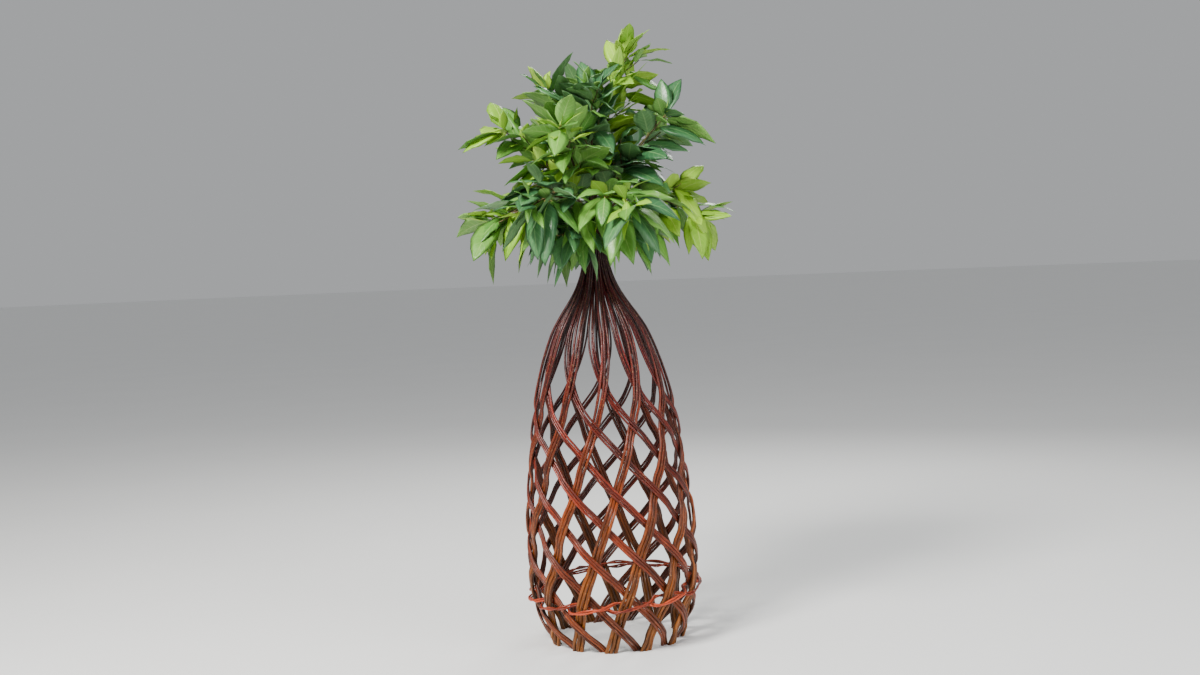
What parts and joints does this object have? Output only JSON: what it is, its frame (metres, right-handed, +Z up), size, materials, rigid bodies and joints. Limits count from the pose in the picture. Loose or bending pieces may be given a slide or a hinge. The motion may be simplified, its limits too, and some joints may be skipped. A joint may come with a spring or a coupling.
{
  "type": "braided willow tree",
  "caption": "Living willow tree with an open braided lattice trunk, a twined binding near its foot and a leafy crown.",
  "frame": {"origin": "middle of the flat cut foot of the front stem, stem_right_01, at ground level", "axes": "+Z up along the trunk, +Y from the viewer into the trunk's ring, +X to the viewer's right"},
  "size_m": [0.8999, 0.8664, 1.9401],
  "materials": {
    "stem_bark": "satin",
    "binding_bark": "satin",
    "head_bark": "matte",
    "bough_bark": "satin",
    "foliage": "satin"
  },
  "bodies": {
    "root": {"stem_right_01": "stem_bark", "stem_right_02": "stem_bark", "stem_right_03": "stem_bark", "stem_right_04": "stem_bark", "stem_right_05": "stem_bark", "stem_right_06": "stem_bark", "stem_right_07": "stem_bark", "stem_right_08": "stem_bark", "stem_right_09": "stem_bark", "stem_right_10": "stem_bark", "stem_right_11": "stem_bark", "stem_right_12": "stem_bark", "stem_left_01": "stem_bark", "stem_left_02": "stem_bark", "stem_left_03": "stem_bark", "stem_left_04": "stem_bark", "stem_left_05": "stem_bark", "stem_left_06": "stem_bark", "stem_left_07": "stem_bark", "stem_left_08": "stem_bark", "stem_left_09": "stem_bark", "stem_left_10": "stem_bark", "stem_left_11": "stem_bark", "stem_left_12": "stem_bark", "binding_rod_a": "binding_bark", "binding_rod_b": "binding_bark", "crown_head": "head_bark", "bough_low_1": "bough_bark", "bough_low_2": "bough_bark", "bough_low_3": "bough_bark", "bough_low_4": "bough_bark", "bough_low_5": "bough_bark", "bough_low_6": "bough_bark", "bough_mid_1": "bough_bark", "bough_mid_2": "bough_bark", "bough_mid_3": "bough_bark", "bough_mid_4": "bough_bark", "bough_mid_5": "bough_bark", "bough_top_1": "bough_bark", "bough_top_2": "bough_bark", "bough_top_3": "bough_bark", "bough_top_4": "bough_bark", "leaves_low_1": "foliage", "leaves_low_2": "foliage", "leaves_low_3": "foliage", "leaves_low_4": "foliage", "leaves_low_5": "foliage", "leaves_low_6": "foliage", "leaves_mid_1": "foliage", "leaves_mid_2": "foliage", "leaves_mid_3": "foliage", "leaves_mid_4": "foliage", "leaves_mid_5": "foliage", "leaves_top_1": "foliage", "leaves_top_2": "foliage", "leaves_top_3": "foliage", "leaves_top_4": "foliage", "leaves_inner_1": "foliage", "leaves_inner_2": "foliage", "leaves_inner_3": "foliage"}
  },
  "joints": []
}
